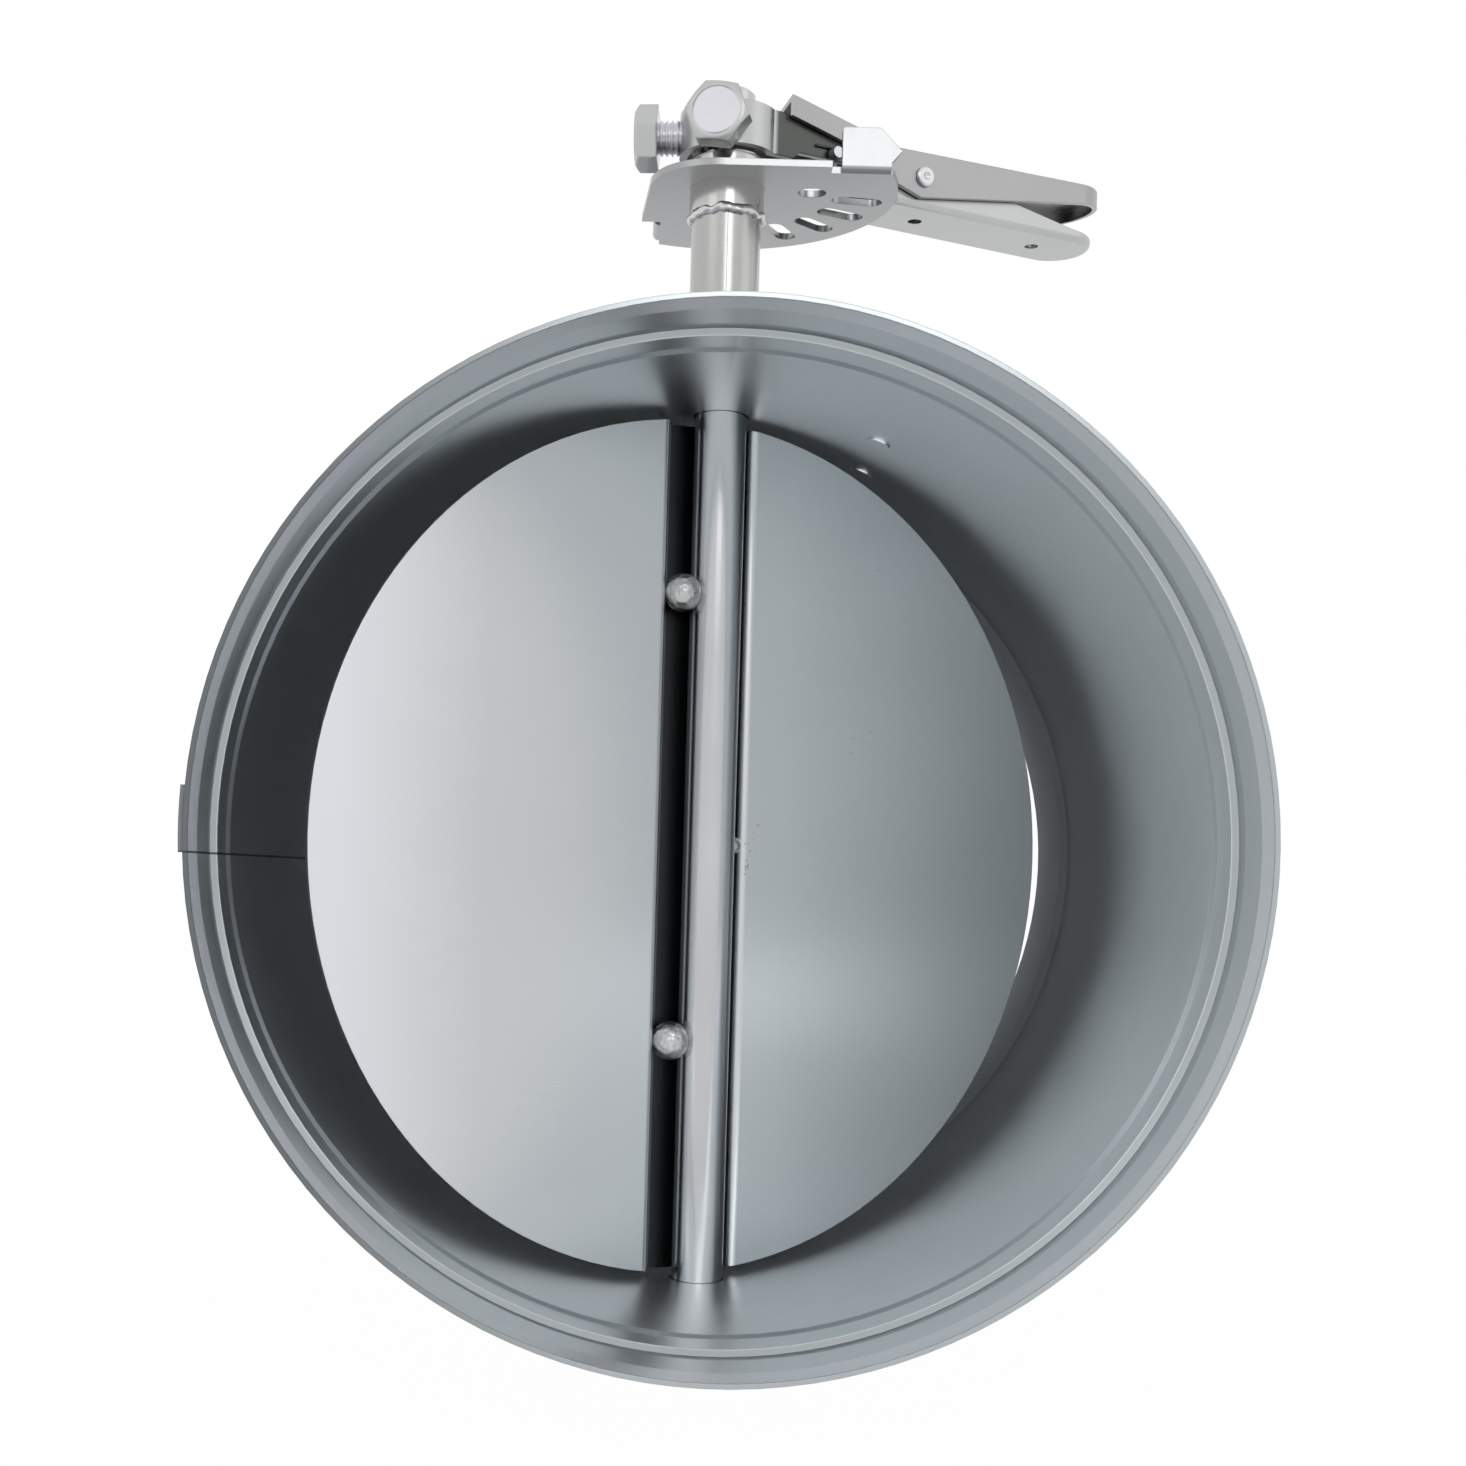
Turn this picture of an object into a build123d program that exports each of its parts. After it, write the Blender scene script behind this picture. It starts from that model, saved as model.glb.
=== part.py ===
from build123d import *
import os
from math import atan2, cos, degrees, radians, sin, sqrt, tan

# Stovepipe damper: a short flue pipe with a throttle disc on a cross shaft, and a squeeze
# handle that locks in a slotted quadrant plate. Millimetres, +Z up along the shaft, +Y along
# the pipe from its socket to its spigot, origin where the pipe axis meets the shaft axis.

# Pipe
bore_r = 100.0
sheet_t = 1.0
socket_room = 0.6
lip_flare = 0.6
spigot_step = 1.5
front_y = -89.0
lip_len = 5.7
socket_band = 9.7
bead_len = 8.7
bead_h = 1.2
bead_side = 1.2
socket_len = 32.4
socket_ramp = 1.6
shoulder_y = 71.5
shoulder_len = 2.5
rear_y = 101.0
shaft_hole_clear = 0.4
seam_w = 12.4
seam_low = 5.0
seam_t = 0.8
spot_r = 2.6
spot_h = 0.5
spot_taper = 20.0
spot_angle = 69.0
spot_ys = (-7.4, 25.0)

# Shaft and bearings
shaft_r = 6.0
shaft_chamfer = 0.8
shaft_proud = 5.3
run_clear = 0.05
body_gap = 0.3
sleeve_r = 8.0
sleeve_wall = 1.5
bush_r = 8.6
bush_top_z = 159.2
bush_low = 6.7
bush_chamfer = 0.5
cup_r = 8.6
cup_depth = 12.0
cup_floor = 2.0
weld_r = 1.6
weld_foot = 2.2
bush_weld_r = 0.9
bush_weld_in = 0.4

# Throttle disc
disc_t = 1.5
disc_clear = 1.7
disc_lead = 0.4
disc_angle = 29.7
rest_angle = 26.5
trough_left = 13.2
trough_right = 8.7
floor_left = 12.2
floor_right = 7.3
bend_r = 2.2
left_tack_heights = (58.3, -44.7)
left_tack_r = 4.4
left_tack_along = -9.0
left_tack_back = 0.0
right_tack_heights = (0.7,)
right_tack_r = 2.2
right_tack_along = 7.0
right_tack_back = 1.2

# Quadrant plate
plate_z = 152.4
plate_t = 1.6
plate_r = 39.6
plate_shift = 2.5
plate_front = 16.4
plate_left = 17.9
plate_flare = 1.6
rear_tab_out = 2.2
tab_start = 25.0
tab_len = 11.2
tab_tip = 2.3
tab_h = 10.0
tab_bend_r = 1.4
tab_corner_r = 0.8
tab_shoulder = 8.5
tab_tip_h = 4.9
tab_low_h = 2.2
relief_w = 2.3
relief_depth = 3.6
slot_count = 5
slot_pitch = 17.8
slot_first = 8.7
slot_mid_r = 31.0
slot_len = 12.0
slot_w = 4.8
eye_r = 19.7
eye_angle = 0.0
eye_len = 6.6
eye_w = 5.6

# Handle lever: hub strap and lower channel; "a" values lie along the lever from the shaft axis
strap_t = 1.8
strap_r = 11.3
strap_low_z = 159.5
strap_h = 10.0
strap_open = 51.0
lever_half = 9.0
lever_t = 1.8
lever_bend_r = 1.5
lever_low_z = 154.5
lever_start = 41.0
lever_end = 104.3
lever_wall_a = 76.8
lever_wall_h = 5.8
lever_taper_a = 93.3
lever_tip_h = 2.9
ear_top_z = 164.0
ear_half = 8.0
ear_slope = 3.0
arm_shoulder_a = 8.5
arm_step_a = 12.2
arm_step_run = 1.8
arm_low_z = 161.1
web_hole_r = 1.7
web_holes = (52.6, 88.2)

# Release trigger: upper inverted channel
trigger_gap = 0.35
trigger_t = 1.2
pivot_a = 47.8
pivot_z = 161.2
trigger_start = 10.7
trigger_end = 105.7
trigger_top_start = 173.4
trigger_top_mid = 166.8
trigger_top_end = 168.6
trigger_mid_a = 40.0
trigger_low_start = 168.6
trigger_skew = 5.0
trigger_low_end = 165.0
trigger_ear_side = ((47.0, 156.3), (40.4, 158.3), (37.5, 161.0), (33.5, 163.3))
tooth_r = 31.0
tooth_len = 5.0
tooth_w = 3.4
tooth_clear = 0.35
tooth_corner = 1.1
tooth_chamfer = 0.4

# Rivet and spring
rivet_r = 1.5
rivet_head_r = 2.4
rivet_head_h = 0.9
rivet_gap = 0.15
rivet_clear = 0.06
rivet_round = 0.6
rivet_dimple_r = 1.1
rivet_dimple_out = 0.6
spring_wire = 0.6
spring_turns = 3
spring_pin_r = 1.0
spring_pin_out = 2.1
spring_head_h = 0.3
spring_leg = 5.0
spring_first = 0.36
spring_pitch = 0.54
spring_a = 23.0
spring_z = 162.2

# Set bolts
bolt_r = 4.0
bolt_af = 13.0
bolt_head_h = 5.3
bolt_head_chamfer = 1.1
thread_pitch = 1.25
thread_depth = 0.55
thread_flank = 0.45
thread_crest = 0.15
thread_lead = 0.2
thread_sink = 0.3
bolt_face_inset = 0.4
front_bolt_turn = 231.0
side_bolt_turn = 148.5
front_bolt_out = 0.8
side_bolt_out = 5.0
front_bolt_spin = 21.5
side_bolt_spin = 37.0

# Derived
socket_r = bore_r + socket_room
lip_r = socket_r + lip_flare
spigot_r = bore_r - spigot_step
shell_r = bore_r + sheet_t
disc_r = bore_r - disc_clear
sleeve_top_z = plate_z - bush_low
plate_top_z = plate_z + plate_t
bolt_z = strap_low_z + strap_h / 2
shaft_top_z = strap_low_z + strap_h + shaft_proud
cup_end_z = -shell_r - cup_depth
shaft_low_z = cup_end_z + cup_floor + body_gap
strap_bore = strap_r - strap_t
trough_depth = shaft_r
trigger_half = lever_half + trigger_gap + trigger_t
trigger_inner = lever_half + trigger_gap

os.makedirs("parts", exist_ok=True)

along = Vector(cos(radians(rest_angle)), sin(radians(rest_angle)), 0)
across = Vector(-along.Y, along.X, 0)
disc_along = Vector(cos(radians(disc_angle)), sin(radians(disc_angle)), 0)
disc_back = Vector(-disc_along.Y, disc_along.X, 0)


def lever_side(offset_across):
    """Plane with x along the lever and y up, offset sideways from the lever's middle."""
    return Plane(origin=across * offset_across, x_dir=along, z_dir=-across)


def lever_top(height):
    """Horizontal plane with x along the lever, at a height."""
    return Plane(origin=(0, 0, height), x_dir=along, z_dir=(0, 0, 1))


def finish(part, name):
    """Label a finished piece and write it to its own file."""
    part.label = name
    export_step(part, f"parts/{name}.step")


def ring_around_z(outer, inner, low, high, chamfer_size=0.0):
    """Tube about the shaft axis, with its outer top edge broken."""
    with BuildPart() as ring:
        with BuildSketch(Plane.XY.offset(low)):
            Circle(outer)
            Circle(inner, mode=Mode.SUBTRACT)
        extrude(amount=high - low)
        if chamfer_size:
            outer_rim = ring.edges().filter_by(GeomType.CIRCLE).group_by(Axis.Z)[-1]
            chamfer(outer_rim.sort_by(SortBy.RADIUS)[-1], chamfer_size)
    return ring.part


def pipe_section(wall, last_y):
    """Half section of the pipe wall, from its socket lip to last_y, built outward from the bore."""
    bead_y = front_y + lip_len + socket_band
    points = [
        (front_y, lip_r),
        (front_y + lip_len, socket_r),
        (bead_y, socket_r),
        (bead_y + bead_side, socket_r + bead_h),
        (bead_y + bead_len - bead_side, socket_r + bead_h),
        (bead_y + bead_len, socket_r),
        (front_y + socket_len, socket_r),
        (front_y + socket_len + socket_ramp, bore_r),
        (shoulder_y, bore_r),
    ]
    if last_y > shoulder_y:
        points += [(shoulder_y + shoulder_len, spigot_r), (last_y, spigot_r)]
    with BuildSketch(Plane.YZ) as section:
        with BuildLine():
            Polyline(*points)
            offset(amount=wall, side=Side.LEFT)
        make_face()
    return section.sketch


def pipe_core(radius):
    """Solid round bar along the pipe, for cutting saddles."""
    return Cylinder(radius, rear_y - front_y, rotation=(90, 0, 0))


# Pipe shell: rolled sheet with a lip, a bead and a socket in front and a spigot behind
shell_section = pipe_section(sheet_t, rear_y)
with BuildPart() as duct_shell:
    add(shell_section)
    revolve(axis=Axis.Y, revolution_arc=360)
    Cylinder(shaft_r + shaft_hole_clear, shell_r * 3, mode=Mode.SUBTRACT)
finish(duct_shell.part, "duct_shell")

# Lap seam: the second layer of sheet at nine o'clock, outside the shell
seam_section = pipe_section(sheet_t + seam_t, shoulder_y)
seam_angle = degrees(seam_w / shell_r)
seam_start = 90 + degrees(seam_low / shell_r)
with BuildPart() as lap_seam:
    add(seam_section.rotate(Axis.Y, -seam_start))
    revolve(axis=Axis.Y, revolution_arc=seam_angle)
    add(duct_shell.part, mode=Mode.SUBTRACT)
finish(lap_seam.part, "lap_seam")

# Two spot-weld marks on the inner wall
with BuildPart() as spot_marks:
    for spot_y in spot_ys:
        out = Vector(cos(radians(spot_angle)), 0, sin(radians(spot_angle)))
        face_point = out * (bore_r - spot_h) + Vector(0, spot_y, 0)
        with BuildSketch(Plane(origin=face_point, z_dir=out)):
            Circle(spot_r)
        extrude(amount=spot_h + sheet_t / 2, taper=-spot_taper)
    Cylinder(bore_r, rear_y - front_y, rotation=(90, 0, 0), mode=Mode.INTERSECT)
finish(spot_marks.part, "spot_weld_marks")


def saddle_weld(tube_r, side):
    """Weld bead where a tube meets the pipe: a cone ring cut to the pipe's round."""
    with BuildPart() as bead:
        with BuildSketch(Plane.XZ):
            with BuildLine():
                Polyline(
                    (tube_r, side * (shell_r - weld_r)),
                    (tube_r, side * (shell_r + weld_r)),
                    (tube_r + weld_foot, side * (shell_r - weld_r / 2)),
                    (tube_r + weld_foot, side * (shell_r - weld_r)),
                    close=True,
                )
            make_face()
        revolve(axis=Axis.Z)
        add(pipe_core(shell_r), mode=Mode.SUBTRACT)
    return bead.part


# Shaft sleeve on top of the pipe, saddle cut, with its weld
with BuildPart() as shaft_sleeve:
    add(ring_around_z(sleeve_r, sleeve_r - sleeve_wall, bore_r - sleeve_r, sleeve_top_z))
    add(pipe_core(shell_r), mode=Mode.SUBTRACT)
finish(shaft_sleeve.part, "shaft_sleeve")
finish(saddle_weld(sleeve_r, 1), "sleeve_weld")

# Bearing bush: sits on the sleeve, passes through the plate, and guides the shaft
finish(ring_around_z(bush_r, shaft_r + run_clear, sleeve_top_z, bush_top_z, bush_chamfer), "bearing_bush")

# Ragged bead between the sleeve and the bush
with BuildPart() as bush_weld:
    with BuildSketch(Plane.XZ):
        with Locations((bush_r - bush_weld_in, sleeve_top_z)):
            Circle(bush_weld_r)
    revolve(axis=Axis.Z)
    add(shaft_sleeve.part, mode=Mode.SUBTRACT)
    with BuildSketch(Plane.XY.offset(sleeve_top_z)):
        Circle(bush_r)
    extrude(amount=bush_weld_r * 2, mode=Mode.SUBTRACT)
finish(bush_weld.part, "bush_weld")

# Lower bearing cup: closed at the bottom, it carries the shaft's end
with BuildPart() as lower_cup:
    with BuildSketch(Plane.XY.offset(cup_end_z)):
        Circle(cup_r)
    extrude(amount=cup_depth * 2)
    fillet(lower_cup.edges().group_by(Axis.Z)[0], cup_floor / 2)
    with BuildSketch(Plane.XY.offset(cup_end_z + cup_floor)):
        Circle(shaft_r + run_clear)
    extrude(amount=cup_depth * 2, mode=Mode.SUBTRACT)
    add(pipe_core(shell_r), mode=Mode.SUBTRACT)
finish(lower_cup.part, "lower_bearing_cup")
finish(saddle_weld(cup_r, -1), "cup_weld")


# Quadrant plate: two bent-up stop tabs at right angles and a fan of slots between them
tab_line = plate_front - relief_depth
rear_tab_line = tab_line + rear_tab_out
notch_start = tab_start - relief_w
right_end = (sqrt(plate_r**2 - (tab_line + plate_shift)**2), -tab_line)
rear_end = (-rear_tab_line, plate_shift + sqrt(plate_r**2 - rear_tab_line**2))
arc_start = degrees(atan2(right_end[1] - plate_shift, right_end[0]))
arc_stop = degrees(atan2(rear_end[1] - plate_shift, rear_end[0]))
front_edge = [
    (plate_front - plate_left, -plate_front),
    (notch_start, -plate_front),
    (notch_start, -tab_line),
    right_end,
]
left_edge = [
    (-plate_left, 0),
    (-plate_left - plate_flare, notch_start),
    (-rear_tab_line, notch_start),
    rear_end,
]

with BuildPart() as stop_tab:
    with BuildSketch(Plane(origin=(0, -tab_line, 0), x_dir=(1, 0, 0), z_dir=(0, -1, 0))):
        with BuildLine():
            Polyline(
                (tab_start, plate_z),
                (tab_start, plate_z + tab_h),
                (tab_start + tab_shoulder, plate_z + tab_h),
                (tab_start + tab_len + tab_tip, plate_z + tab_tip_h),
                (tab_start + tab_len, plate_z + tab_low_h),
                (tab_start + tab_len, plate_z),
                close=True,
            )
        make_face()
    extrude(amount=plate_t)
    outer_edge = stop_tab.edges().filter_by(Axis.X).group_by(Axis.Z)[0].sort_by(Axis.Y)[0]
    fillet(outer_edge, tab_bend_r)
    fillet(stop_tab.edges().filter_by(Axis.Y).group_by(Axis.Z)[-1], tab_corner_r)

with BuildPart() as quadrant_plate:
    with BuildSketch(Plane.XY.offset(plate_z)):
        with BuildLine():
            Polyline(*front_edge)
            CenterArc((0, plate_shift), plate_r, arc_start, arc_stop - arc_start)
            Polyline(*left_edge)
            CenterArc((plate_front - plate_left, 0), plate_front, 180, 90)
        make_face()
        Circle(bush_r, mode=Mode.SUBTRACT)
        for slot in range(slot_count):
            with PolarLocations(slot_mid_r, 1, start_angle=slot_first + slot * slot_pitch):
                SlotOverall(slot_len, slot_w, mode=Mode.SUBTRACT)
        with PolarLocations(eye_r, 1, start_angle=eye_angle):
            SlotOverall(eye_len, eye_w, rotation=-eye_angle, mode=Mode.SUBTRACT)
    extrude(amount=plate_t)
    add(stop_tab.part)
    rear_tab = mirror(stop_tab.part, about=Plane(origin=(0, 0, 0), z_dir=(1, -1, 0)), mode=Mode.PRIVATE)
    add(rear_tab.moved(Location((-rear_tab_out, 0, 0))))
finish(quadrant_plate.part, "quadrant_plate")

# Shaft: a plain round bar from the cup to above the hub
with BuildPart() as shaft:
    with BuildSketch(Plane.XY.offset(shaft_low_z)):
        Circle(shaft_r)
    extrude(amount=shaft_top_z - shaft_low_z)
    chamfer(shaft.edges().filter_by(GeomType.CIRCLE), shaft_chamfer)
finish(shaft.part, "shaft")

# Throttle disc: round sheet with a pressed trough that passes behind the shaft
with BuildPart() as throttle_disc:
    with BuildSketch(Plane(origin=(0, 0, -disc_r), x_dir=disc_along, z_dir=(0, 0, 1))):
        with BuildLine():
            FilletPolyline(
                (-disc_r - disc_t, -disc_lead),
                (-trough_left, -disc_lead),
                (-floor_left, trough_depth),
                (floor_right, trough_depth),
                (trough_right, -disc_lead),
                (disc_r + disc_t, -disc_lead),
                radius=bend_r,
            )
            offset(amount=disc_t, side=Side.LEFT)
        make_face()
    extrude(amount=disc_r * 2)
    with BuildSketch(Plane(origin=-disc_back * disc_r, x_dir=disc_along, z_dir=disc_back)):
        Circle(disc_r)
    extrude(amount=disc_r * 2, mode=Mode.INTERSECT)
finish(throttle_disc.part, "throttle_disc")


def tack_weld(name, heights, radius, out_along, back):
    """Round weld blobs that bridge from the disc's bend to the shaft, on one side of the trough."""
    with BuildPart() as blobs:
        for height in heights:
            with Locations(disc_along * out_along + disc_back * back + Vector(0, 0, height)):
                Sphere(radius)
        add(shaft.part, mode=Mode.SUBTRACT)
        add(throttle_disc.part, mode=Mode.SUBTRACT)
    finish(blobs.part, name)


tack_weld("left_tack_welds", left_tack_heights, left_tack_r, left_tack_along, left_tack_back)
tack_weld("right_tack_weld", right_tack_heights, right_tack_r, right_tack_along, right_tack_back)

# Handle lever: a strap curled round the shaft's top, whose two ends run out as side arms to a
# channel with its web below. Plan points are along and across the lever.
nose_a = lever_end - lever_half
arm_start = strap_bore * cos(radians(strap_open))


def nosed_plan(start, middle, half):
    """Plan of a channel: straight from start, with a round nose about the point middle."""
    Rectangle(middle - start, half * 2, align=(Align.MIN, Align.CENTER))
    with Locations((middle - start, 0)):
        Circle(half)


def channel_plan(start, middle, half, low, high):
    """Upright prism with the plan of a nosed channel."""
    with BuildPart() as prism:
        with BuildSketch(Plane(origin=along * start + Vector(0, 0, low), x_dir=along, z_dir=(0, 0, 1))):
            nosed_plan(start, middle, half)
        extrude(amount=high - low)
    return prism.part


def side_prism(points, half, middle=0.0):
    """Prism of a side outline, given along the lever and up, with its width across."""
    with BuildPart() as prism:
        with BuildSketch(lever_side(middle + half)):
            with BuildLine():
                Polyline(*points, close=True)
            make_face()
        extrude(amount=half * 2)
    return prism.part


channel_outline = [
    (lever_start, lever_low_z),
    (lever_end, lever_low_z),
    (lever_end, lever_low_z + lever_t),
    (lever_taper_a, lever_low_z + lever_tip_h),
    (lever_wall_a, lever_low_z + lever_wall_h),
    (pivot_a + ear_half, ear_top_z),
    (pivot_a - ear_half, ear_top_z),
    (lever_start, ear_top_z - ear_slope),
]
arm_outline = [
    (-strap_r * 2, strap_low_z),
    (arm_step_a, strap_low_z),
    (arm_step_a + arm_step_run, arm_low_z),
    (pivot_a, arm_low_z),
    (pivot_a - ear_half, ear_top_z),
    (arm_shoulder_a, strap_low_z + strap_h),
    (-strap_r * 2, strap_low_z + strap_h),
]
with BuildPart() as handle_lever:
    add(channel_plan(lever_start, nose_a, lever_half, lever_low_z, ear_top_z))
    add(channel_plan(lever_start - lever_t, nose_a, lever_half - lever_t,
                     lever_low_z + lever_t, ear_top_z), mode=Mode.SUBTRACT)
    add(side_prism(channel_outline, lever_half), mode=Mode.INTERSECT)
    web_edges = handle_lever.edges().group_by(Axis.Z)[0].sort_by(SortBy.LENGTH)[-3:]
    fillet(web_edges, lever_bend_r)
    for hole_a in web_holes:
        with Locations(along * hole_a + Vector(0, 0, lever_low_z)):
            Cylinder(web_hole_r, lever_t * 3, mode=Mode.SUBTRACT)

with BuildPart() as hub_strap:
    with BuildSketch(lever_top(strap_low_z)):
        Circle(strap_r)
        Circle(strap_bore, mode=Mode.SUBTRACT)
        with BuildLine():
            Polyline(
                (0, 0),
                (strap_r * 2, -strap_r * 2 * tan(radians(strap_open))),
                (strap_r * 2, strap_r * 2 * tan(radians(strap_open))),
                close=True,
            )
        make_face(mode=Mode.SUBTRACT)
        for side in (-1, 1):
            with Locations((arm_start, side * (lever_half - strap_t / 2))):
                Rectangle(pivot_a - arm_start, strap_t, align=(Align.MIN, Align.CENTER))
    extrude(amount=strap_h)
    add(side_prism(arm_outline, strap_r * 2), mode=Mode.INTERSECT)

pivot_point = along * pivot_a + Vector(0, 0, pivot_z)
pin_point = along * spring_a + Vector(0, 0, spring_z)


def across_plane(point, start):
    """Plane square to the sideways direction, a distance start across from a point."""
    return Plane(origin=point + across * start, x_dir=along, z_dir=across)


def bolt_direction(turn):
    """Direction of a set bolt, turned from the lever's own direction."""
    angle = radians(rest_angle + turn)
    return Vector(cos(angle), sin(angle), 0)


with BuildPart() as main_lever:
    add(handle_lever.part)
    add(hub_strap.part)
    with BuildSketch(across_plane(pivot_point, -lever_half * 2)):
        Circle(rivet_r)
    extrude(amount=lever_half * 4, mode=Mode.SUBTRACT)
    with BuildSketch(across_plane(pin_point, -lever_half * 2)):
        Circle(spring_pin_r)
    extrude(amount=lever_half * 2, mode=Mode.SUBTRACT)
    for turn in (front_bolt_turn, side_bolt_turn):
        with BuildSketch(Plane(origin=Vector(0, 0, bolt_z), z_dir=bolt_direction(turn))):
            Circle(bolt_r)
        extrude(amount=strap_r * 2, mode=Mode.SUBTRACT)
finish(main_lever.part, "handle_lever")

# Release trigger: an inverted channel outside the handle lever, with a bent top line
trigger_nose_a = trigger_end - trigger_half
trigger_top = [
    (trigger_start, trigger_top_start),
    (trigger_mid_a, trigger_top_mid),
    (trigger_end, trigger_top_end),
]
trigger_bottom = [(trigger_end, trigger_low_end), *trigger_ear_side, (trigger_start, trigger_low_start)]
hollow_start = trigger_start - trigger_t
web_slope = (trigger_top_start - trigger_top_mid) / (trigger_mid_a - trigger_start)
web_under = [(hollow_start, trigger_top_start + trigger_t * web_slope - trigger_t)]
web_under += [(a, z - trigger_t) for a, z in trigger_top[1:]]
below_web = side_prism([*web_under, (trigger_end, lever_low_z), (hollow_start, lever_low_z)], trigger_half)
with BuildPart() as trigger_lever:
    add(channel_plan(trigger_start, trigger_nose_a, trigger_half, lever_low_z, trigger_top_start))
    add(side_prism(trigger_top + trigger_bottom, trigger_half), mode=Mode.INTERSECT)
    with BuildSketch(lever_top(lever_low_z)):
        with BuildLine():
            Polyline(
                (trigger_start, -trigger_half),
                (trigger_start + trigger_skew, trigger_half),
                (0, trigger_half),
                (0, -trigger_half),
                close=True,
            )
        make_face()
    extrude(amount=trigger_top_start - lever_low_z, mode=Mode.SUBTRACT)
    hollow = channel_plan(hollow_start, trigger_nose_a, trigger_inner, lever_low_z, trigger_top_start)
    add(hollow & below_web, mode=Mode.SUBTRACT)
    with BuildSketch(across_plane(pivot_point, -trigger_half * 2)):
        Circle(rivet_r + rivet_clear)
    extrude(amount=trigger_half * 4, mode=Mode.SUBTRACT)
finish(trigger_lever.part, "trigger_lever")

# Locking tooth: hangs from the trigger's web over the slot that the lever points at
with BuildPart() as locking_tooth:
    with BuildSketch(lever_top(plate_top_z + tooth_clear)):
        with Locations((tooth_r, 0)):
            RectangleRounded(tooth_len, tooth_w, tooth_corner)
    extrude(amount=trigger_top_start - plate_top_z)
    chamfer(locking_tooth.edges().group_by(Axis.Z)[0], tooth_chamfer)
    add(below_web, mode=Mode.INTERSECT)
finish(locking_tooth.part, "locking_tooth")

# Pivot rivet: pressed in the handle lever, with a head outside each trigger wall
rivet_half = trigger_half + rivet_gap
with BuildPart() as pivot_rivet:
    with BuildSketch(across_plane(pivot_point, -rivet_half - rivet_head_h)):
        Circle(rivet_head_r)
    extrude(amount=(rivet_half + rivet_head_h) * 2)
    outer_rims = pivot_rivet.edges().filter_by(GeomType.CIRCLE)
    fillet(outer_rims, rivet_round)
    for side in (-1, 1):
        dimple_middle = across * side * (rivet_half + rivet_head_h + rivet_dimple_out)
        with Locations(pivot_point + dimple_middle):
            Sphere(rivet_dimple_r, mode=Mode.SUBTRACT)
    with BuildSketch(across_plane(pivot_point, -rivet_half)):
        Circle(rivet_head_r * 2)
        Circle(rivet_r, mode=Mode.SUBTRACT)
    extrude(amount=rivet_half * 2, mode=Mode.SUBTRACT)
finish(pivot_rivet.part, "pivot_rivet")

# Spring pin, riveted in the near arm, and the return spring coiled round it
pin_end = -lever_half - spring_pin_out
with BuildPart() as spring_pin:
    with BuildSketch(across_plane(pin_point, pin_end)):
        Circle(spring_pin_r)
    extrude(amount=spring_pin_out + strap_t)
    with BuildSketch(across_plane(pin_point, pin_end - spring_head_h)):
        Circle(spring_pin_r + spring_wire / 2)
    extrude(amount=spring_head_h)
finish(spring_pin.part, "spring_pin")

coil_r = spring_pin_r + spring_wire / 2
coil_first = -lever_half - spring_first
with BuildPart() as return_spring:
    for turn in range(spring_turns):
        coil_start = coil_first - turn * spring_pitch
        with BuildSketch(Plane(origin=pin_point, x_dir=Vector(0, 0, 1), z_dir=-along)):
            with Locations((coil_r, coil_start)):
                Circle(spring_wire / 2)
        revolve(axis=Axis(pin_point, across))
    leg_start = pin_point + across * coil_first + Vector(0, 0, coil_r)
    with BuildSketch(Plane(origin=leg_start, z_dir=-along)):
        Circle(spring_wire / 2)
    extrude(amount=spring_leg)
finish(return_spring.part, "return_spring")


# Set bolts: hexagon heads, ringed threads through the strap, ends pressed on the shaft
def set_bolt(name, turn, head_out, spin):
    """Bolt along a horizontal direction, its end on the shaft and its head outside the strap."""
    direction = bolt_direction(turn)
    head_start = strap_r + head_out
    core_r = bolt_r - thread_depth
    base = Vector(0, 0, bolt_z)
    axis = Axis(base, direction)
    with BuildPart() as bolt:
        with BuildSketch(Plane(origin=base + direction * head_start, x_dir=Vector(0, 0, 1), z_dir=direction)):
            RegularPolygon(bolt_af / 2, 6, major_radius=False, rotation=spin)
        extrude(amount=bolt_head_h)
        with BuildSketch(Plane(origin=base, x_dir=direction, z_dir=Vector(0, 0, 1).cross(direction))):
            with BuildLine():
                Polyline(
                    (head_start, 0),
                    (head_start + bolt_head_h, 0),
                    (head_start + bolt_head_h, bolt_af / 2 - bolt_face_inset),
                    (head_start + bolt_head_h - bolt_head_chamfer, bolt_af / 2 + bolt_head_chamfer),
                    (head_start, bolt_af / 2 + bolt_head_chamfer),
                    close=True,
                )
            make_face()
        revolve(axis=axis, mode=Mode.INTERSECT)
        with BuildSketch(Plane(origin=base + direction * shaft_r, z_dir=direction)):
            Circle(core_r)
        extrude(amount=head_start - shaft_r)
        turns = int((head_start - shaft_r) / thread_pitch)
        for ridge in range(turns):
            foot = shaft_r + thread_lead + thread_pitch * ridge
            tail = foot + thread_crest + thread_flank * 2
            with BuildSketch(Plane(origin=base, x_dir=direction, z_dir=Vector(0, 0, 1).cross(direction))):
                with BuildLine():
                    Polyline(
                        (foot, core_r - thread_sink),
                        (foot, core_r),
                        (foot + thread_flank, bolt_r),
                        (foot + thread_flank + thread_crest, bolt_r),
                        (tail, core_r),
                        (tail, core_r - thread_sink),
                        close=True,
                    )
                make_face()
            revolve(axis=axis)
    finish(bolt.part, name)


set_bolt("front_set_bolt", front_bolt_turn, front_bolt_out, front_bolt_spin)
set_bolt("side_set_bolt", side_bolt_turn, side_bolt_out, side_bolt_spin)
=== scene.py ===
from math import cos, pi, radians, sin

import bpy
from mathutils import Matrix, Vector, noise
from mathutils.bvhtree import BVHTree


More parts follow.
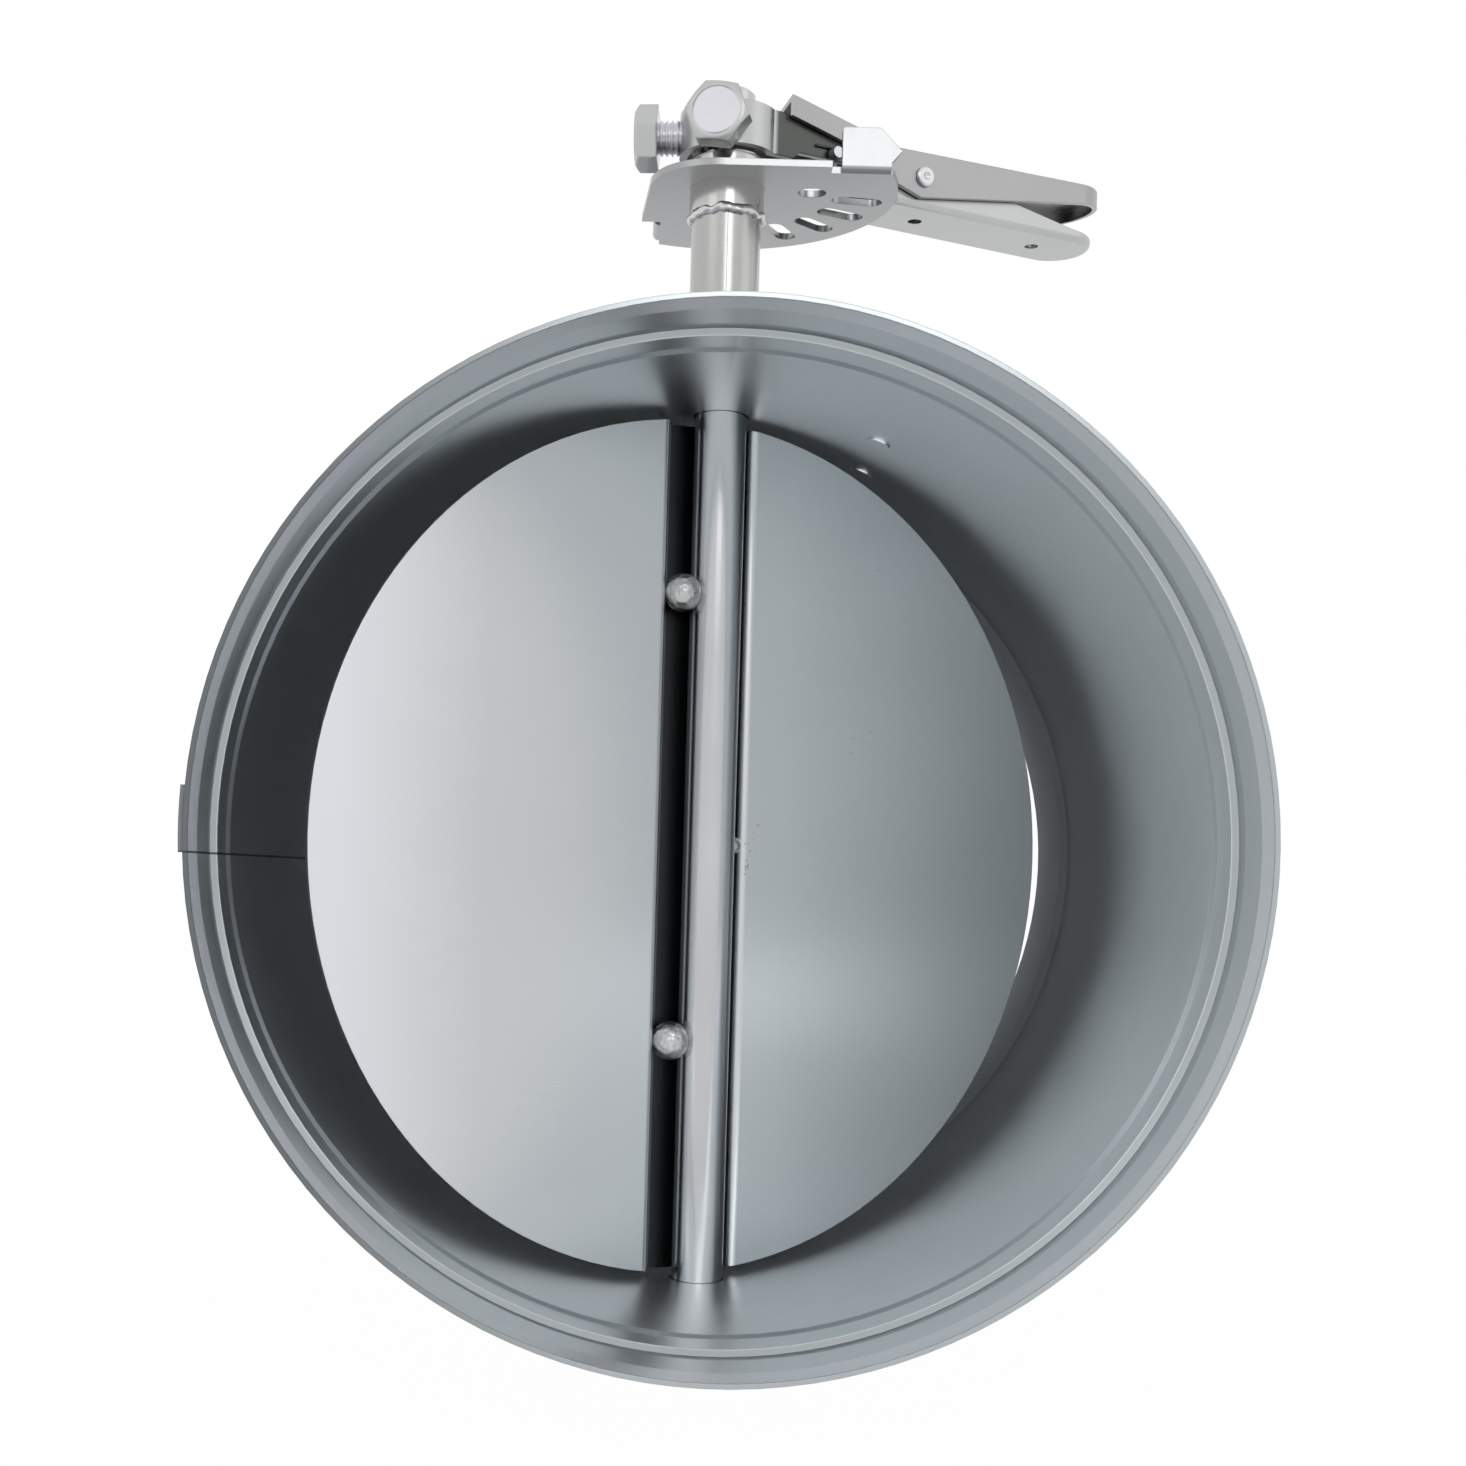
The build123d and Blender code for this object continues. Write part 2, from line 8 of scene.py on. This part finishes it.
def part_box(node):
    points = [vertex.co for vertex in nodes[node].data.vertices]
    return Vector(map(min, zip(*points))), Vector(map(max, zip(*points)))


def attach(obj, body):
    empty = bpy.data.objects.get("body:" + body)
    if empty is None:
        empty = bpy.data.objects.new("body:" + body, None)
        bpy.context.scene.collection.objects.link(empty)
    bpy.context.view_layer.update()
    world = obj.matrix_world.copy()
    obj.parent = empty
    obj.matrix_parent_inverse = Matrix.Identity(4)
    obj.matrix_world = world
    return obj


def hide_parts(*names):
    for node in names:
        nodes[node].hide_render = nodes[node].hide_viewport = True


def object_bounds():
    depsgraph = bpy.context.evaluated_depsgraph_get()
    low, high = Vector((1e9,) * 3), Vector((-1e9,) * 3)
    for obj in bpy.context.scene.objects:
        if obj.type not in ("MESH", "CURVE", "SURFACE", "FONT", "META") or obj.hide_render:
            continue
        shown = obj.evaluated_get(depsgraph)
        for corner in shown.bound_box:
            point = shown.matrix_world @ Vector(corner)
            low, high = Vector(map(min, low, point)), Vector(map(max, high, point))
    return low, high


# Stovepipe damper, dressed for a studio picture. Metres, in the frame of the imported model: +Z up
# along the shaft, +Y along the pipe from its socket, origin where the pipe and shaft axes cross.
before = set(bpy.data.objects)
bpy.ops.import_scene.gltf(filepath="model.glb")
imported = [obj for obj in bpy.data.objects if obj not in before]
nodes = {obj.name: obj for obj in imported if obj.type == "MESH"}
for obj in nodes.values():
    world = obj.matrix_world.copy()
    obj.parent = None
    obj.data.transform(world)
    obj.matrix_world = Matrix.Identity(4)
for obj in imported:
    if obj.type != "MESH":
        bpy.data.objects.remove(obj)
cad_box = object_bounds()

mm = 0.001

# Directions at rest: along and across the lever, along the disc, and out of the disc's back
rest_turn = radians(26.5)
along = Vector((cos(rest_turn), sin(rest_turn), 0))
across = Vector((-along.y, along.x, 0))
disc_turn = radians(29.7)
disc_along = Vector((cos(disc_turn), sin(disc_turn), 0))
disc_back = Vector((-disc_along.y, disc_along.x, 0))

# Sheet metal: sizes, depths and shares of its clouds, grain and scuffs
edge_round = 0.25 * mm
cloud_size = 30 * mm
cloud_depth = 0.02 * mm
cloud_share = 0.8
grain_size = 0.6 * mm
grain_share = 0.2
grain_rough = 0.008
scuff_size = 4 * mm
scuff_rough = 0.02
noise_span = (0.3, 0.7)
scuff_span = (0.5, 0.75)
facing_span = (0.02 * mm, 0.5 * mm)


# Materials
class Shader:
    """A Principled material with a few helpers for its texture nodes."""

    def __init__(self, name, metallic=1.0):
        self.material = bpy.data.materials.new(name)
        self.material.use_nodes = True
        self.tree = self.material.node_tree
        self.bsdf = self.tree.nodes["Principled BSDF"]
        self.bsdf.inputs["Metallic"].default_value = metallic
        self.coord = self.add("ShaderNodeTexCoord").outputs["Object"]

    def add(self, kind, **settings):
        node = self.tree.nodes.new(kind)
        for key, value in settings.items():
            setattr(node, key, value)
        return node

    def link(self, source, target):
        self.tree.links.new(source, target)

    def mapped(self, scale, turn=(0, 0, 0)):
        """Object coordinates, turned and scaled."""
        node = self.add("ShaderNodeMapping")
        node.inputs["Rotation"].default_value = turn
        node.inputs["Scale"].default_value = scale
        self.link(self.coord, node.inputs["Vector"])
        return node.outputs["Vector"]

    def noise(self, size, detail=3.0, stretch=(1, 1, 1), turn=(0, 0, 0), distortion=0.0):
        """Noise whose features are about size metres, longer where stretch is over 1."""
        node = self.add("ShaderNodeTexNoise")
        node.inputs["Scale"].default_value = 1.0
        node.inputs["Detail"].default_value = detail
        node.inputs["Distortion"].default_value = distortion
        scale = [1 / (size * s) for s in stretch]
        self.link(self.mapped(scale, turn), node.inputs["Vector"])
        return node.outputs["Fac"]

    def ramp(self, value, low, high, out_low=0.0, out_high=1.0):
        """Map value from low..high to out_low..out_high, clamped."""
        node = self.add("ShaderNodeMapRange")
        self.link(value, node.inputs["Value"])
        limits = (("From Min", low), ("From Max", high), ("To Min", out_low), ("To Max", out_high))
        for key, number in limits:
            node.inputs[key].default_value = number
        return node.outputs["Result"]

    def math(self, kind, first, second):
        node = self.add("ShaderNodeMath", operation=kind)
        for socket, value in zip(node.inputs, (first, second)):
            if isinstance(value, (int, float)):
                socket.default_value = value
            else:
                self.link(value, socket)
        return node.outputs["Value"]

    def blend(self, factor, first, second):
        """Colour that goes from first to second with the factor."""
        node = self.add("ShaderNodeMix", data_type="RGBA")
        self.link(factor, node.inputs["Factor"])
        sockets = [s for s in node.inputs if s.type == "RGBA"]
        for socket, value in zip(sockets, (first, second)):
            if isinstance(value, tuple):
                socket.default_value = (*value, 1.0)
            else:
                self.link(value, socket)
        return [s for s in node.outputs if s.type == "RGBA"][0]

    def reach(self, direction):
        """How far a point lies along a direction, in metres."""
        node = self.add("ShaderNodeVectorMath", operation="DOT_PRODUCT")
        node.inputs[1].default_value = direction
        self.link(self.coord, node.inputs[0])
        return node.outputs["Value"]

    def outside(self):
        """1 where the surface faces away from the pipe's axis, 0 where it faces the axis."""
        flat = self.add("ShaderNodeVectorMath", operation="MULTIPLY")
        self.link(self.coord, flat.inputs[0])
        flat.inputs[1].default_value = (1, 0, 1)
        facing = self.add("ShaderNodeVectorMath", operation="DOT_PRODUCT")
        self.link(flat.outputs["Vector"], facing.inputs[0])
        self.link(self.add("ShaderNodeNewGeometry").outputs["True Normal"], facing.inputs[1])
        return self.ramp(facing.outputs["Value"], *facing_span)

    def band(self, direction, start, stop, soft):
        """1 between start and stop along a direction, fading to 0 over the soft distance."""
        place = self.reach(direction)
        return self.math("MULTIPLY", self.ramp(place, start - soft, start + soft),
                         self.ramp(place, stop - soft, stop + soft, 1, 0))

    def tint(self, factor, second):
        """Blend what the base colour shows so far towards a second colour."""
        source = self.bsdf.inputs["Base Color"].links[0].from_socket
        self.color(self.blend(factor, source, second))

    def color(self, source):
        self.link(source, self.bsdf.inputs["Base Color"])

    def roughness(self, source):
        self.link(source, self.bsdf.inputs["Roughness"])

    def bump(self, layers, edge=edge_round):
        """Stack bumps of (height source, depth in metres) over slightly rounded edges."""
        present = self.bsdf.inputs["Normal"].links
        if present:
            normal = present[0].from_socket
        else:
            bevel = self.add("ShaderNodeBevel", samples=4)
            bevel.inputs["Radius"].default_value = edge
            normal = bevel.outputs["Normal"]
        for height, depth in layers:
            node = self.add("ShaderNodeBump")
            node.inputs["Strength"].default_value = 1.0
            node.inputs["Distance"].default_value = depth
            self.link(height, node.inputs["Height"])
            self.link(normal, node.inputs["Normal"])
            normal = node.outputs["Normal"]
        self.link(normal, self.bsdf.inputs["Normal"])


def sheet_metal(name, dark, light, rough, grain, grain_depth, edge=edge_round):
    """Metal sheet: slow clouds of tone, a fine rolled grain along one way, and small scuffs."""
    shader = Shader(name)
    clouds = shader.noise(cloud_size, detail=2)
    fine = shader.noise(grain_size, detail=2, stretch=grain)
    scuffs = shader.noise(scuff_size, detail=5, distortion=1.5)
    tone = shader.math("ADD", shader.ramp(clouds, *noise_span, 0, cloud_share),
                       shader.ramp(fine, *noise_span, 0, grain_share))
    shader.color(shader.blend(tone, dark, light))
    shine = shader.math("ADD", shader.ramp(clouds, *noise_span, *rough),
                        shader.ramp(scuffs, *scuff_span, 0, scuff_rough))
    grain_shine = shader.ramp(fine, *noise_span, -grain_rough, grain_rough)
    shader.roughness(shader.math("ADD", shine, grain_shine))
    shader.bump([(fine, grain_depth), (clouds, cloud_depth)], edge)
    return shader


# Each metal: darkest and lightest tone, roughness range, stretch of its grain, and grain depth
pipe_sheet = sheet_metal("pipe_sheet", (0.80, 0.84, 0.86), (0.86, 0.90, 0.92), (0.29, 0.33),
                         (1, 1, 8), 0.0001 * mm)
disc_sheet = sheet_metal("disc_sheet", (0.62, 0.64, 0.655), (0.66, 0.68, 0.695), (0.28, 0.32),
                         (10, 10, 1), 0.0001 * mm)
tube_zinc = sheet_metal("tube_zinc", (0.46, 0.46, 0.45), (0.56, 0.56, 0.54), (0.16, 0.22),
                        (1, 1, 12), 0.0004 * mm)
shaft_steel = sheet_metal("shaft_steel", (0.49, 0.50, 0.515), (0.55, 0.56, 0.575), (0.19, 0.23),
                          (1, 1, 14), 0.0004 * mm)
plate_zinc = sheet_metal("plate_zinc", (0.335, 0.345, 0.35), (0.39, 0.40, 0.405), (0.27, 0.31),
                         (6, 1, 1), 0.0002 * mm)
lever_zinc = sheet_metal("lever_zinc", (0.34, 0.345, 0.34), (0.40, 0.405, 0.40), (0.28, 0.32),
                         (6, 6, 1), 0.0002 * mm)
bolt_zinc = sheet_metal("bolt_zinc", (0.58, 0.58, 0.61), (0.65, 0.65, 0.68), (0.22, 0.27),
                        (1, 1, 1), 0.0001 * mm)
# the return spring's near black tone is painted shade
shaded_spring_wire = sheet_metal("shaded_spring_wire", (0.08, 0.085, 0.08), (0.14, 0.145, 0.14), (0.35, 0.45),
                          (3, 3, 1), 0.0006 * mm, 0.05 * mm)
weld_bead = sheet_metal("weld_bead", (0.46, 0.45, 0.44), (0.72, 0.72, 0.72), (0.2, 0.3),
                        (1, 1, 1), 0.01 * mm)
tack_metal = sheet_metal("tack_metal", (0.38, 0.38, 0.37), (0.60, 0.60, 0.60), (0.24, 0.34),
                         (1, 1, 1), 0.01 * mm)
tack_lump = 2.5 * mm
tack_lump_depth = 0.8 * mm
tack_metal.bump([(tack_metal.noise(tack_lump, detail=3), tack_lump_depth)])


# Set bolts: how far round from the lever each points, its round face and the painted shade on its
# corners
front_bolt_turn = radians(231)
side_bolt_turn = radians(148.5)
bolt_edge = 0.8 * mm
face_rim = (5.1 * mm, 5.5 * mm)
face_rise = 0.3 * mm
corner_rim = (5.2 * mm, 5.7 * mm)
corner_shade_tone = (0.50, 0.51, 0.505)


def bolt_finish(node, turn):
    """Bolt zinc with a raised round face and painted shade on its corners; the bolt points out at
    turn.
    """
    shader = sheet_metal(node + "_zinc", (0.62, 0.61, 0.65), (0.70, 0.69, 0.73), (0.22, 0.27),
                         (1, 1, 1), 0.0001 * mm, bolt_edge)
    low, high = (Vector(corner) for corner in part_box(node))
    out = Vector((cos(turn), sin(turn), 0))
    side = shader.math("POWER", shader.reach((-out.y, out.x, 0)), 2)
    above = shader.math("SUBTRACT", shader.reach((0, 0, 1)), (low.z + high.z) / 2)
    rise = shader.math("POWER", above, 2)
    radius = shader.math("SQRT", shader.math("ADD", side, rise), 0)
    round_face = shader.ramp(radius, *face_rim, 1, 0)
    # painted shade on the bolt head's corners
    shader.tint(shader.ramp(radius, *corner_rim), corner_shade_tone)
    shader.bump([(round_face, face_rise)])
    return shader


front_bolt_zinc = bolt_finish("front_set_bolt", rest_turn + front_bolt_turn)
side_bolt_zinc = bolt_finish("side_set_bolt", rest_turn + side_bolt_turn)

# Disc: darker half way up, painted shade towards its right edge, a painted highlight towards its
# left edge, and near black painted shade in the trough
middle_half = 55 * mm
middle_soft = 60 * mm
middle_share = 0.8
right_shade_fade = (20 * mm, 95 * mm)
left_highlight_fade = (-92 * mm, -58 * mm)
trough_left = -10.4 * mm
trough_right = 7.5 * mm
trough_soft = 0.8 * mm
trough_fade = (0.6 * mm, 1.6 * mm)

middle = disc_sheet.band((0, 0, 1), -middle_half, middle_half, middle_soft)
disc_sheet.tint(disc_sheet.math("MULTIPLY", middle, middle_share), (0.55, 0.57, 0.58))
disc_place = disc_sheet.reach(disc_along)
# painted shade: the disc darkens towards its right edge
disc_sheet.tint(disc_sheet.ramp(disc_place, *right_shade_fade), (0.40, 0.42, 0.425))
# painted highlight: the disc lightens towards its left edge
disc_sheet.tint(disc_sheet.ramp(disc_place, *left_highlight_fade, 1, 0), (0.74, 0.75, 0.79))
# painted shade: near black in the trough beside and behind the shaft
trough_shade_span = disc_sheet.band(disc_along, trough_left, trough_right, trough_soft)
trough_shade_depth = disc_sheet.ramp(disc_sheet.reach(disc_back), *trough_fade)
disc_sheet.tint(disc_sheet.math("MULTIPLY", trough_shade_span, trough_shade_depth), (0.045, 0.048, 0.052))

# Pipe: bands round the socket, a painted highlight on the lip and painted shade on the bead and
# lines
socket_light_and_shade_bands = (
    (-88.5 * mm, -83.3 * mm, 0.3 * mm, (0.95, 0.96, 0.98)),  # the lip
    (-73.4 * mm, -65.8 * mm, 0.3 * mm, (0.66, 0.71, 0.75)),  # the bead
    (-66.1 * mm, -65.0 * mm, 0.15 * mm, (0.43, 0.46, 0.47)),  # the line behind the bead
    (-56.5 * mm, -55.1 * mm, 0.15 * mm, (0.60, 0.65, 0.68)),  # the line at the socket's end
)
# each band paints a highlight or shade into the pipe's colour
for start, stop, soft, tone in socket_light_and_shade_bands:
    pipe_sheet.tint(pipe_sheet.band((0, 1, 0), start, stop, soft), tone)

# Pipe: darker outside, then a dull cut edge at the socket's mouth, with painted shade darkest at
# the left
cut_edge_fade = (-88.9 * mm, -88.5 * mm)
left_edge_shade_fade = (-80 * mm, -20 * mm)

outer_clouds = pipe_sheet.ramp(pipe_sheet.noise(cloud_size, detail=2), *noise_span)
outer_tone = pipe_sheet.blend(outer_clouds, (0.44, 0.47, 0.49), (0.52, 0.55, 0.57))
pipe_sheet.tint(pipe_sheet.outside(), outer_tone)
cut_edge = pipe_sheet.ramp(pipe_sheet.reach((0, 1, 0)), *cut_edge_fade, 1, 0)
pipe_sheet.tint(cut_edge, (0.44, 0.47, 0.49))
# painted shade: the cut edge darkest at the left
left_edge_shade = pipe_sheet.ramp(pipe_sheet.reach((1, 0, 0)), *left_edge_shade_fade, 1, 0)
pipe_sheet.tint(pipe_sheet.math("MULTIPLY", cut_edge, left_edge_shade), (0.16, 0.17, 0.18))

# Painted shade on the handle's near arm between the hub and the tab
arm_start = 7.6 * mm
arm_stop = 41 * mm
arm_soft = 0.5 * mm
arm_outer = -9.5 * mm
arm_inner = -8.4 * mm
arm_side_soft = 0.2 * mm

handle_zinc = sheet_metal("handle_zinc", (0.46, 0.47, 0.47), (0.52, 0.53, 0.525), (0.28, 0.32),
                          (6, 6, 1), 0.0002 * mm)
# painted shade: the near arm darkened between the hub and the tab
arm_shade_reach = handle_zinc.band(along, arm_start, arm_stop, arm_soft)
arm_shade_side = handle_zinc.band(across, arm_outer, arm_inner, arm_side_soft)
handle_zinc.tint(handle_zinc.math("MULTIPLY", arm_shade_reach, arm_shade_side), (0.10, 0.105, 0.10))

# Thin seam lines: along the left of the pipe, and up the front of the sleeve
seam_z = -5.0 * mm
seam_half = 0.2 * mm
seam_soft = 0.1 * mm
seam_fade = (-60 * mm, -50 * mm)
tube_line_half = 0.1 * mm
tube_line_soft = 0.08 * mm
tube_line_fade = (-2 * mm, 0)

seam_level = pipe_sheet.band((0, 0, 1), seam_z - seam_half, seam_z + seam_half, seam_soft)
seam_side = pipe_sheet.ramp(pipe_sheet.reach((1, 0, 0)), *seam_fade, 1, 0)
pipe_sheet.tint(pipe_sheet.math("MULTIPLY", seam_level, seam_side), (0.06, 0.06, 0.065))

sleeve_zinc = sheet_metal("sleeve_zinc", (0.40, 0.40, 0.395), (0.47, 0.47, 0.46), (0.22, 0.28),
                          (1, 1, 12), 0.0004 * mm)
tube_line = sleeve_zinc.band((1, 0, 0), -tube_line_half, tube_line_half, tube_line_soft)
tube_front = sleeve_zinc.ramp(sleeve_zinc.reach((0, 1, 0)), *tube_line_fade, 1, 0)
sleeve_zinc.tint(sleeve_zinc.math("MULTIPLY", tube_line, tube_front), (0.2, 0.19, 0.18))

looks = {
    pipe_sheet: ("duct_shell", "lap_seam", "spot_weld_marks"),
    disc_sheet: ("throttle_disc",),
    sleeve_zinc: ("shaft_sleeve",),
    tube_zinc: ("bearing_bush", "lower_bearing_cup"),
    shaft_steel: ("shaft",),
    plate_zinc: ("quadrant_plate",),
    handle_zinc: ("handle_lever",),
    lever_zinc: ("trigger_lever", "locking_tooth"),
    bolt_zinc: ("pivot_rivet", "spring_pin"),
    front_bolt_zinc: ("front_set_bolt",),
    side_bolt_zinc: ("side_set_bolt",),
    shaded_spring_wire: ("return_spring",),
    weld_bead: ("sleeve_weld", "bush_weld", "cup_weld"),
    tack_metal: ("left_tack_welds", "right_tack_weld"),
}
for shader, names in looks.items():
    for name in names:
        nodes[name].data.materials.clear()
        nodes[name].data.materials.append(shader.material)


# Weld details: a ragged bead under the bush, and spatter beside the tack welds
def new_piece(name, vertices, faces, body, shader):
    """Mesh object that rides on a body, smooth, with a material."""
    mesh = bpy.data.meshes.new(name)
    mesh.from_pydata(vertices, [], faces)
    mesh.materials.append(shader.material)
    for face in mesh.polygons:
        face.use_smooth = True
    piece = bpy.data.objects.new(name, mesh)
    bpy.context.scene.collection.objects.link(piece)
    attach(piece, body)
    return piece


# Ragged bead: its tube, how far it sinks in, its waves and lumps, and its steps round
bead_tube = 0.95 * mm
bead_sink = 0.9
bead_wave = 0.7 * mm
wave_rate = 2.6
lump_share = 0.55
lump_rate = 5
around, section = 144, 12

bead_low, bead_high = (Vector(corner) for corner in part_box("bush_weld"))
bead_reach = (bead_high.x - bead_low.x) / 2
bead_z = (bead_low.z + bead_high.z) / 2
bead_points = []
for turn_step in range(around):
    turn = 2 * pi * turn_step / around
    out = Vector((cos(turn), sin(turn), 0))
    wave = noise.noise(out * wave_rate) * bead_wave
    for side_step in range(section):
        side = 2 * pi * side_step / section
        lump = 1 + lump_share * noise.noise(Vector((turn * lump_rate, cos(side), sin(side))))
        ring = bead_reach - bead_tube * bead_sink + bead_tube * lump * cos(side)
        height = bead_z + wave + bead_tube * lump * sin(side)
        bead_points.append(out * ring + Vector((0, 0, height)))
bead_faces = []
for turn_step in range(around):
    for side_step in range(section):
        here, there = turn_step * section, (turn_step + 1) % around * section
        after = (side_step + 1) % section
        bead_faces.append((here + side_step, there + side_step, there + after, here + after))
bush_bead = new_piece("bush_bead", bead_points, bead_faces, "root", weld_bead)
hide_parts("bush_weld")

# Spatter: drops of a few rings and sides, dropped onto the disc from in front of it
disc_mesh = nodes["throttle_disc"].data
disc_surface = BVHTree.FromPolygons([vertex.co for vertex in disc_mesh.vertices],
                                    [list(face.vertices) for face in disc_mesh.polygons])
drop_rings, drop_sides = 5, 8
drop_from = 20 * mm


def spatter(name, count, start, stop, low_z, high_z, sizes):
    """Small drops of weld metal on the disc's front, between two places along and up it."""
    points, faces = [], []
    for _ in range(count):
        spread = noise.random_vector()
        at = (start + stop) / 2 + (stop - start) / 2 * spread.x
        height = (low_z + high_z) / 2 + (high_z - low_z) / 2 * spread.z
        origin = disc_along * at + Vector((0, 0, height)) - disc_back * drop_from
        hit = disc_surface.ray_cast(origin, disc_back)[0]
        radius = sizes[0] + (sizes[1] - sizes[0]) * abs(spread.y) ** 2
        first = len(points)
        for ring in range(drop_rings):
            tilt = pi * (ring + 0.5) / drop_rings
            for side_step in range(drop_sides):
                side = 2 * pi * side_step / drop_sides
                out = Vector((sin(tilt) * cos(side), sin(tilt) * sin(side), cos(tilt)))
                points.append(hit + radius * out)
        for ring in range(drop_rings - 1):
            for side_step in range(drop_sides):
                here, there = first + ring * drop_sides, first + (ring + 1) * drop_sides
                after = (side_step + 1) % drop_sides
                faces.append((here + side_step, here + after, there + after, there + side_step))
        last = first + (drop_rings - 1) * drop_sides
        faces.append([first + side_step for side_step in range(drop_sides)])
        faces.append([last + side_step for side_step in reversed(range(drop_sides))])
    new_piece(name, points, faces, "shaft_group", weld_bead)


noise.seed_set(7)
spatter("upper_spatter", 70, -12.4 * mm, -10.6 * mm, 36 * mm, 66 * mm, (0.10 * mm, 0.28 * mm))
spatter("left_spatter", 26, -12.2 * mm, -10.6 * mm, -40 * mm, 36 * mm, (0.08 * mm, 0.22 * mm))
spatter("lower_spatter", 40, -12.4 * mm, -10.6 * mm, -66 * mm, -38 * mm, (0.10 * mm, 0.26 * mm))
spatter("right_spatter", 14, 9.6 * mm, 13.5 * mm, -6 * mm, 6 * mm, (0.12 * mm, 0.4 * mm))

# Stage: white surroundings, a pale floor that keeps the shadow, and soft lamps
world_strength = 0.45
floor_half = 3.0
floor_tone = (0.9, 0.9, 0.9, 1)
floor_white = 0.985
paper_rough = 0.9
card_gap = 4 * mm
card_r = 103 * mm
card_sides = 64
card_tone = (0.60, 0.60, 0.61, 1)

low, high = cad_box
floor_z = low[2]


def white_for_views(tree, output, plain, white_share):
    """Mix the plain shader with white for camera, glossy and transmission rays."""
    path = tree.nodes.new("ShaderNodeLightPath")
    seen = path.outputs["Is Camera Ray"]
    for ray in ("Is Glossy Ray", "Is Transmission Ray"):
        either = tree.nodes.new("ShaderNodeMath")
        either.operation = "MAXIMUM"
        tree.links.new(seen, either.inputs[0])
        tree.links.new(path.outputs[ray], either.inputs[1])
        seen = either.outputs[0]
    share = tree.nodes.new("ShaderNodeMath")
    share.operation = "MULTIPLY"
    share.inputs[1].default_value = white_share
    tree.links.new(seen, share.inputs[0])
    white = tree.nodes.new("ShaderNodeEmission")
    mix = tree.nodes.new("ShaderNodeMixShader")
    tree.links.new(share.outputs[0], mix.inputs[0])
    tree.links.new(plain, mix.inputs[1])
    tree.links.new(white.outputs[0], mix.inputs[2])
    tree.links.new(mix.outputs[0], output)


world = bpy.data.worlds.new("studio")
bpy.context.scene.world = world
world.use_nodes = True
background = world.node_tree.nodes["Background"]
background.inputs["Color"].default_value = (1, 1, 1, 1)
background.inputs["Strength"].default_value = world_strength
white_for_views(world.node_tree, world.node_tree.nodes["World Output"].inputs["Surface"],
                background.outputs[0], 1.0)

floor_mesh = bpy.data.meshes.new("floor")
floor_corners = [(-floor_half, -floor_half, floor_z), (floor_half, -floor_half, floor_z),
                 (floor_half, floor_half, floor_z), (-floor_half, floor_half, floor_z)]
floor_mesh.from_pydata(floor_corners, [], [(0, 1, 2, 3)])
floor = bpy.data.objects.new("floor", floor_mesh)
bpy.context.scene.collection.objects.link(floor)
floor_look = bpy.data.materials.new("floor_paper")
floor_look.use_nodes = True
paper = floor_look.node_tree.nodes["Principled BSDF"]
paper.inputs["Base Color"].default_value = floor_tone
paper.inputs["Roughness"].default_value = paper_rough
floor_output = floor_look.node_tree.nodes["Material Output"]
white_for_views(floor_look.node_tree, floor_output.inputs["Surface"], paper.outputs[0], floor_white)
floor_mesh.materials.append(floor_look)

# Card behind the pipe's far mouth: hidden from the camera, it shows in the metal and stops light
card_y = high[1] + card_gap
card_points = []
for side_step in range(card_sides):
    turn = 2 * pi * side_step / card_sides
    card_points.append((card_r * cos(turn), card_y, card_r * sin(turn)))
card_mesh = bpy.data.meshes.new("table_card")
card_mesh.from_pydata(card_points, [], [range(card_sides)])
card = bpy.data.objects.new("table_card", card_mesh)
bpy.context.scene.collection.objects.link(card)
card_look = bpy.data.materials.new("card_paper")
card_look.use_nodes = True
card_paper = card_look.node_tree.nodes["Principled BSDF"]
card_paper.inputs["Base Color"].default_value = card_tone
card_paper.inputs["Roughness"].default_value = paper_rough
card_mesh.materials.append(card_look)
card.visible_camera = False


def lamp(name, place, target, size, power):
    """Square soft lamp at place that faces target."""
    light = bpy.data.lights.new(name, "AREA")
    light.shape = "SQUARE"
    light.size = size
    light.energy = power
    holder = bpy.data.objects.new(name, light)
    holder.location = place
    holder.rotation_euler = (Vector(target) - Vector(place)).to_track_quat("-Z", "Y").to_euler()
    bpy.context.scene.collection.objects.link(holder)


lamp("front_light", (-1.3, -1.2, 1.2), (0, 0, 0), 0.9, 1.5)
lamp("fore_light", (0.15, -1.3, 0.62), (0, 0, 0.15), 0.5, 2.0)
lamp("side_light", (1.6, -0.6, 0.9), (0, 0, 0), 0.9, 0.8)

# Camera: level, along the pipe, with the frame shifted up and right as in the photograph
camera = bpy.data.cameras.new("camera")
camera.sensor_width = 36.0
picture = 1466.0
focal_px = 1931.0
centre_px = (616.8, 875.8)
eye_place = (-0.0211, -0.448, -0.0072)
roll = radians(1.62)
camera.lens = focal_px * camera.sensor_width / picture
camera.shift_x = (picture / 2 - centre_px[0]) / picture
camera.shift_y = (centre_px[1] - picture / 2) / picture
camera.clip_start = 0.01
eye = bpy.data.objects.new("camera", camera)
eye.matrix_world = Matrix.Translation(eye_place) @ Matrix(
    ((cos(roll), -sin(roll), 0, 0), (0, 0, -1, 0), (sin(roll), cos(roll), 0, 0), (0, 0, 0, 1)))
bpy.context.scene.collection.objects.link(eye)
bpy.context.scene.camera = eye
bpy.context.scene.view_settings.view_transform = "Standard"
